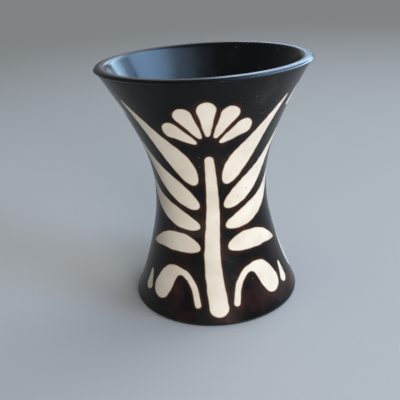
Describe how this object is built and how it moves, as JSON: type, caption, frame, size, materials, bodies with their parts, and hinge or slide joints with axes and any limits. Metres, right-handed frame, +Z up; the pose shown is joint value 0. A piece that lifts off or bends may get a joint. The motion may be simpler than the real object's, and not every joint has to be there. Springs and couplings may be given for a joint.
{
  "type": "miniature vase",
  "caption": "Small waisted earthenware vase with a flared open mouth, a wider flat foot, dark burnished slip inside and out, and pale slip plant figures set in the outer coat.",
  "frame": {"origin": "centre of the flat foot, on the surface that the vase stands on", "axes": "+Z up along the vase's axis, -Y towards the front stem, +X to the right of it"},
  "size_m": [0.077, 0.077, 0.09],
  "materials": {
    "fired_clay": "bare smoked earthenware, matt",
    "dark_slip": "burnished smoke-blackened slip, satin gloss",
    "pale_slip": "burnished cream slip, satin"
  },
  "bodies": {
    "root": {"floor_slab": "fired_clay", "wall_coil_1": "fired_clay", "wall_coil_2": "fired_clay", "wall_coil_3": "fired_clay", "wall_coil_4": "fired_clay", "wall_coil_5": "fired_clay", "wall_coil_6": "fired_clay", "wall_coil_7": "fired_clay", "wall_coil_8": "fired_clay", "lip_coil": "dark_slip", "inner_slip": "dark_slip", "dark_slip": "dark_slip", "front_stem": "pale_slip", "front_petal_1": "pale_slip", "front_petal_2": "pale_slip", "front_petal_3": "pale_slip", "front_petal_4": "pale_slip", "front_petal_5": "pale_slip", "front_leaf_1_right": "pale_slip", "front_leaf_2_right": "pale_slip", "front_leaf_3_right": "pale_slip", "front_leaf_4_right": "pale_slip", "front_leaf_1_left": "pale_slip", "front_leaf_2_left": "pale_slip", "front_leaf_3_left": "pale_slip", "front_leaf_4_left": "pale_slip", "front_bud_right": "pale_slip", "front_bud_left": "pale_slip", "front_rim_seed_right": "pale_slip", "front_rim_seed_left": "pale_slip", "front_foot_seed_right": "pale_slip", "front_foot_seed_left": "pale_slip", "front_upper_pod": "pale_slip", "front_middle_pod": "pale_slip", "front_lower_pod": "pale_slip", "back_stem": "pale_slip", "back_petal_1": "pale_slip", "back_petal_2": "pale_slip", "back_petal_3": "pale_slip", "back_petal_4": "pale_slip", "back_petal_5": "pale_slip", "back_leaf_1_right": "pale_slip", "back_leaf_2_right": "pale_slip", "back_leaf_3_right": "pale_slip", "back_leaf_4_right": "pale_slip", "back_leaf_1_left": "pale_slip", "back_leaf_2_left": "pale_slip", "back_leaf_3_left": "pale_slip", "back_leaf_4_left": "pale_slip", "back_bud_right": "pale_slip", "back_bud_left": "pale_slip", "back_rim_seed_right": "pale_slip", "back_rim_seed_left": "pale_slip", "back_foot_seed_right": "pale_slip", "back_foot_seed_left": "pale_slip", "back_upper_pod": "pale_slip", "back_middle_pod": "pale_slip", "back_lower_pod": "pale_slip"}
  },
  "joints": []
}
